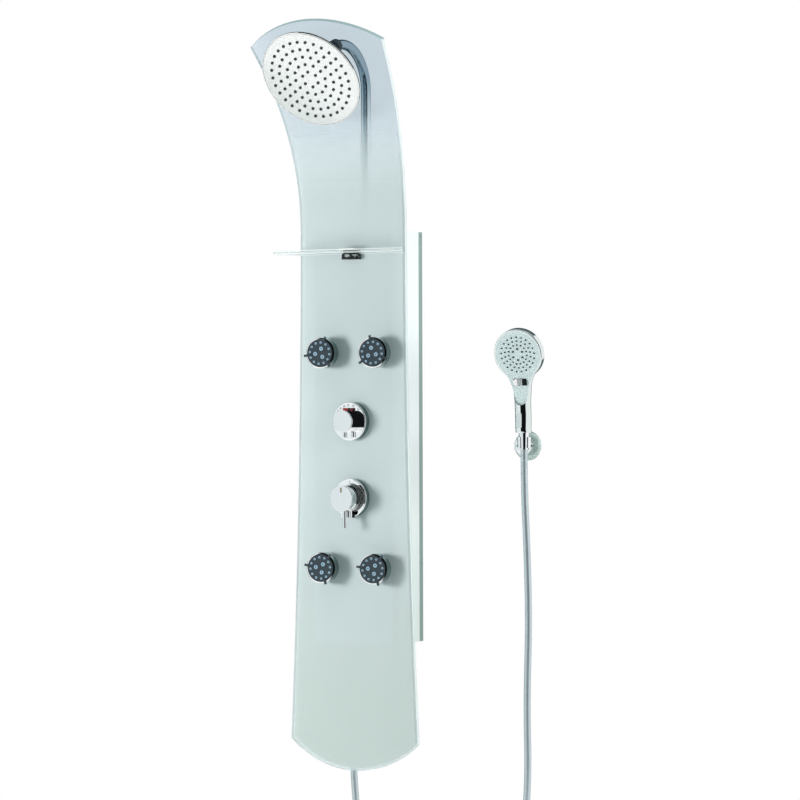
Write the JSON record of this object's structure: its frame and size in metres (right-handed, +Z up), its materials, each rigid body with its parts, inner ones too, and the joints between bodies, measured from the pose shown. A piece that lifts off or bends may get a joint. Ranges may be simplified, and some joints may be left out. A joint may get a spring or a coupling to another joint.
{
  "type": "shower panel column",
  "caption": "Wall-hung curved glass shower column with an overhead shower, swivelling body jets, thermostat, diverter, shelf and a hand shower on its hose.",
  "frame": {"origin": "centre of the four wall-bracket holes, on the wall plane", "axes": "+Z up, +Y into the wall, +X to the right of someone facing the panel"},
  "size_m": [0.5671, 0.3411, 1.8145],
  "materials": {
    "glass": "polished, frosted lower down",
    "white_coat": "semi-gloss",
    "rail_aluminium": "satin",
    "zinc_steel": "satin",
    "brass": "machined",
    "braided_hose": "braided",
    "copper": "drawn",
    "chrome": "mirror",
    "white_plastic": "matte",
    "slate_plastic": "fine satin",
    "blue_grey_rubber": "soft",
    "red_plastic": "gloss",
    "acrylic": "polished",
    "black_rubber": "matte",
    "steel_face": "fine satin",
    "dark_rubber": "matte",
    "grey_plate": "satin",
    "satin_chrome": "satin",
    "silver_hose": "silver, smooth"
  },
  "bodies": {
    "root": {"glass_panel": "glass", "casing": "white_coat", "wall_rails": "rail_aluminium", "wall_brackets": "zinc_steel", "fixing_screws": "zinc_steel", "valve_block": "brass", "supply_hoses": "braided_hose", "supply_nuts": "brass", "inner_pipes": "copper", "outlet_pipe": "chrome", "hose_nut": "chrome", "thermostat_plate": "chrome", "thermostat_cartridge": "brass", "diverter_plate": "chrome", "flow_cartridge": "brass", "jet_sockets": "chrome", "jet_lock_nuts": "white_plastic", "shelf_plate": "acrylic", "shelf_clamp": "chrome", "shower_arm": "chrome", "arm_lock_collar": "black_rubber", "arm_grommet": "black_rubber", "head_ball": "brass", "rosette_plate": "zinc_steel", "rosette": "chrome", "shower_hose": "silver_hose"},
    "head_seat": {"ball_bush": "white_plastic"},
    "head": {"ball_collar": "chrome", "head_back": "steel_face", "head_face": "steel_face", "head_nozzles": "dark_rubber"},
    "jet_1_seat": {"jet_1_seat": "white_plastic"},
    "jet_1_cup": {"jet_1_cup": "chrome"},
    "jet_1_face": {"jet_1_face": "slate_plastic", "jet_1_nozzles": "blue_grey_rubber"},
    "jet_2_seat": {"jet_2_seat": "white_plastic"},
    "jet_2_cup": {"jet_2_cup": "chrome"},
    "jet_2_face": {"jet_2_face": "slate_plastic", "jet_2_nozzles": "blue_grey_rubber"},
    "jet_3_seat": {"jet_3_seat": "white_plastic"},
    "jet_3_cup": {"jet_3_cup": "chrome"},
    "jet_3_face": {"jet_3_face": "slate_plastic", "jet_3_nozzles": "blue_grey_rubber"},
    "jet_4_seat": {"jet_4_seat": "white_plastic"},
    "jet_4_cup": {"jet_4_cup": "chrome"},
    "jet_4_face": {"jet_4_face": "slate_plastic", "jet_4_nozzles": "blue_grey_rubber"},
    "thermostat_knob": {"thermostat_knob": "chrome", "thermostat_pin": "chrome", "button_spring": "zinc_steel"},
    "stop_button": {"stop_button": "red_plastic"},
    "diverter": {"diverter_ring": "chrome"},
    "flow_knob": {"flow_knob": "chrome", "flow_pin": "chrome"},
    "holder": {"holder_cup": "chrome"},
    "hose_end": {"hose_cone": "chrome"},
    "handset": {"handset_shell": "chrome", "handset_face": "grey_plate", "handset_nozzles": "dark_rubber"},
    "handset_button": {"handset_button": "satin_chrome"}
  },
  "joints": [
    {"name": "head_tilt", "type": "hinge", "parent": "root", "child": "head_seat", "pos_m": [0, -0.24993, 0.65464], "axis": [1, 0, 0], "range_deg": [-10, 10]},
    {"name": "head_swing", "type": "hinge", "parent": "head_seat", "child": "head", "pos_m": [0, -0.24993, 0.65464], "axis": [0, -0.5807, 0.8141], "range_deg": [-10, 10]},
    {"name": "jet_1_tilt", "type": "hinge", "parent": "root", "child": "jet_1_seat", "pos_m": [-0.061, -0.122, 0.095], "axis": [1, 0, 0], "range_deg": [-9, 9]},
    {"name": "jet_1_swing", "type": "hinge", "parent": "jet_1_seat", "child": "jet_1_cup", "pos_m": [-0.061, -0.122, 0.095], "axis": [0, 0, 1], "range_deg": [-17, 1]},
    {"name": "jet_1_spin", "type": "hinge", "parent": "jet_1_cup", "child": "jet_1_face", "pos_m": [-0.061, -0.122, 0.095], "axis": [0.1392, -0.9903, 0], "range_deg": [-60, 60]},
    {"name": "jet_2_tilt", "type": "hinge", "parent": "root", "child": "jet_2_seat", "pos_m": [0.061, -0.122, 0.095], "axis": [1, 0, 0], "range_deg": [-9, 9]},
    {"name": "jet_2_swing", "type": "hinge", "parent": "jet_2_seat", "child": "jet_2_cup", "pos_m": [0.061, -0.122, 0.095], "axis": [0, 0, 1], "range_deg": [-17, 1]},
    {"name": "jet_2_spin", "type": "hinge", "parent": "jet_2_cup", "child": "jet_2_face", "pos_m": [0.061, -0.122, 0.095], "axis": [0.1392, -0.9903, 0], "range_deg": [-60, 60]},
    {"name": "jet_3_tilt", "type": "hinge", "parent": "root", "child": "jet_3_seat", "pos_m": [-0.061, -0.122, -0.338], "axis": [1, 0, 0], "range_deg": [-9, 9]},
    {"name": "jet_3_swing", "type": "hinge", "parent": "jet_3_seat", "child": "jet_3_cup", "pos_m": [-0.061, -0.122, -0.338], "axis": [0, 0, 1], "range_deg": [-17, 1]},
    {"name": "jet_3_spin", "type": "hinge", "parent": "jet_3_cup", "child": "jet_3_face", "pos_m": [-0.061, -0.122, -0.338], "axis": [0.1392, -0.9903, 0], "range_deg": [-60, 60]},
    {"name": "jet_4_tilt", "type": "hinge", "parent": "root", "child": "jet_4_seat", "pos_m": [0.061, -0.122, -0.338], "axis": [1, 0, 0], "range_deg": [-9, 9]},
    {"name": "jet_4_swing", "type": "hinge", "parent": "jet_4_seat", "child": "jet_4_cup", "pos_m": [0.061, -0.122, -0.338], "axis": [0, 0, 1], "range_deg": [-17, 1]},
    {"name": "jet_4_spin", "type": "hinge", "parent": "jet_4_cup", "child": "jet_4_face", "pos_m": [0.061, -0.122, -0.338], "axis": [0.1392, -0.9903, 0], "range_deg": [-60, 60]},
    {"name": "thermostat_turn", "type": "hinge", "parent": "root", "child": "thermostat_knob", "pos_m": [0, -0.14, -0.043], "axis": [0, -1, 0], "range_deg": [-135, 45]},
    {"name": "stop_button_press", "type": "slide", "parent": "thermostat_knob", "child": "stop_button", "axis": [0, 0, -1], "range_m": [0, 0.002], "stiffness_N_per_m": 400, "springref_m": -0.001, "deforming": ["button_spring"]},
    {"name": "diverter_turn", "type": "hinge", "parent": "root", "child": "diverter", "pos_m": [0, -0.14, -0.197], "axis": [0, -1, 0], "range_deg": [-60, 60]},
    {"name": "flow_turn", "type": "hinge", "parent": "root", "child": "flow_knob", "pos_m": [0, -0.155, -0.197], "axis": [0, -1, 0], "range_deg": [0, 90]},
    {"name": "holder_swivel", "type": "hinge", "parent": "root", "child": "holder", "pos_m": [0.336, -0.02, -0.092], "axis": [0, 0, 1], "range_deg": [-74, 16]},
    {"name": "handset_lift", "type": "slide", "parent": "holder", "child": "hose_end", "axis": [0, 0, 1], "range_m": [0, 0.04]},
    {"name": "handset_twist", "type": "hinge", "parent": "hose_end", "child": "handset", "pos_m": [0.3583, -0.06023, -0.06], "axis": [0, 0, 1], "continuous": true},
    {"name": "handset_button_press", "type": "slide", "parent": "handset", "child": "handset_button", "axis": [-0.1119, 0.9671, 0.2284], "range_m": [0, 0.002], "stiffness_N_per_m": 400, "springref_m": -0.001}
  ]
}
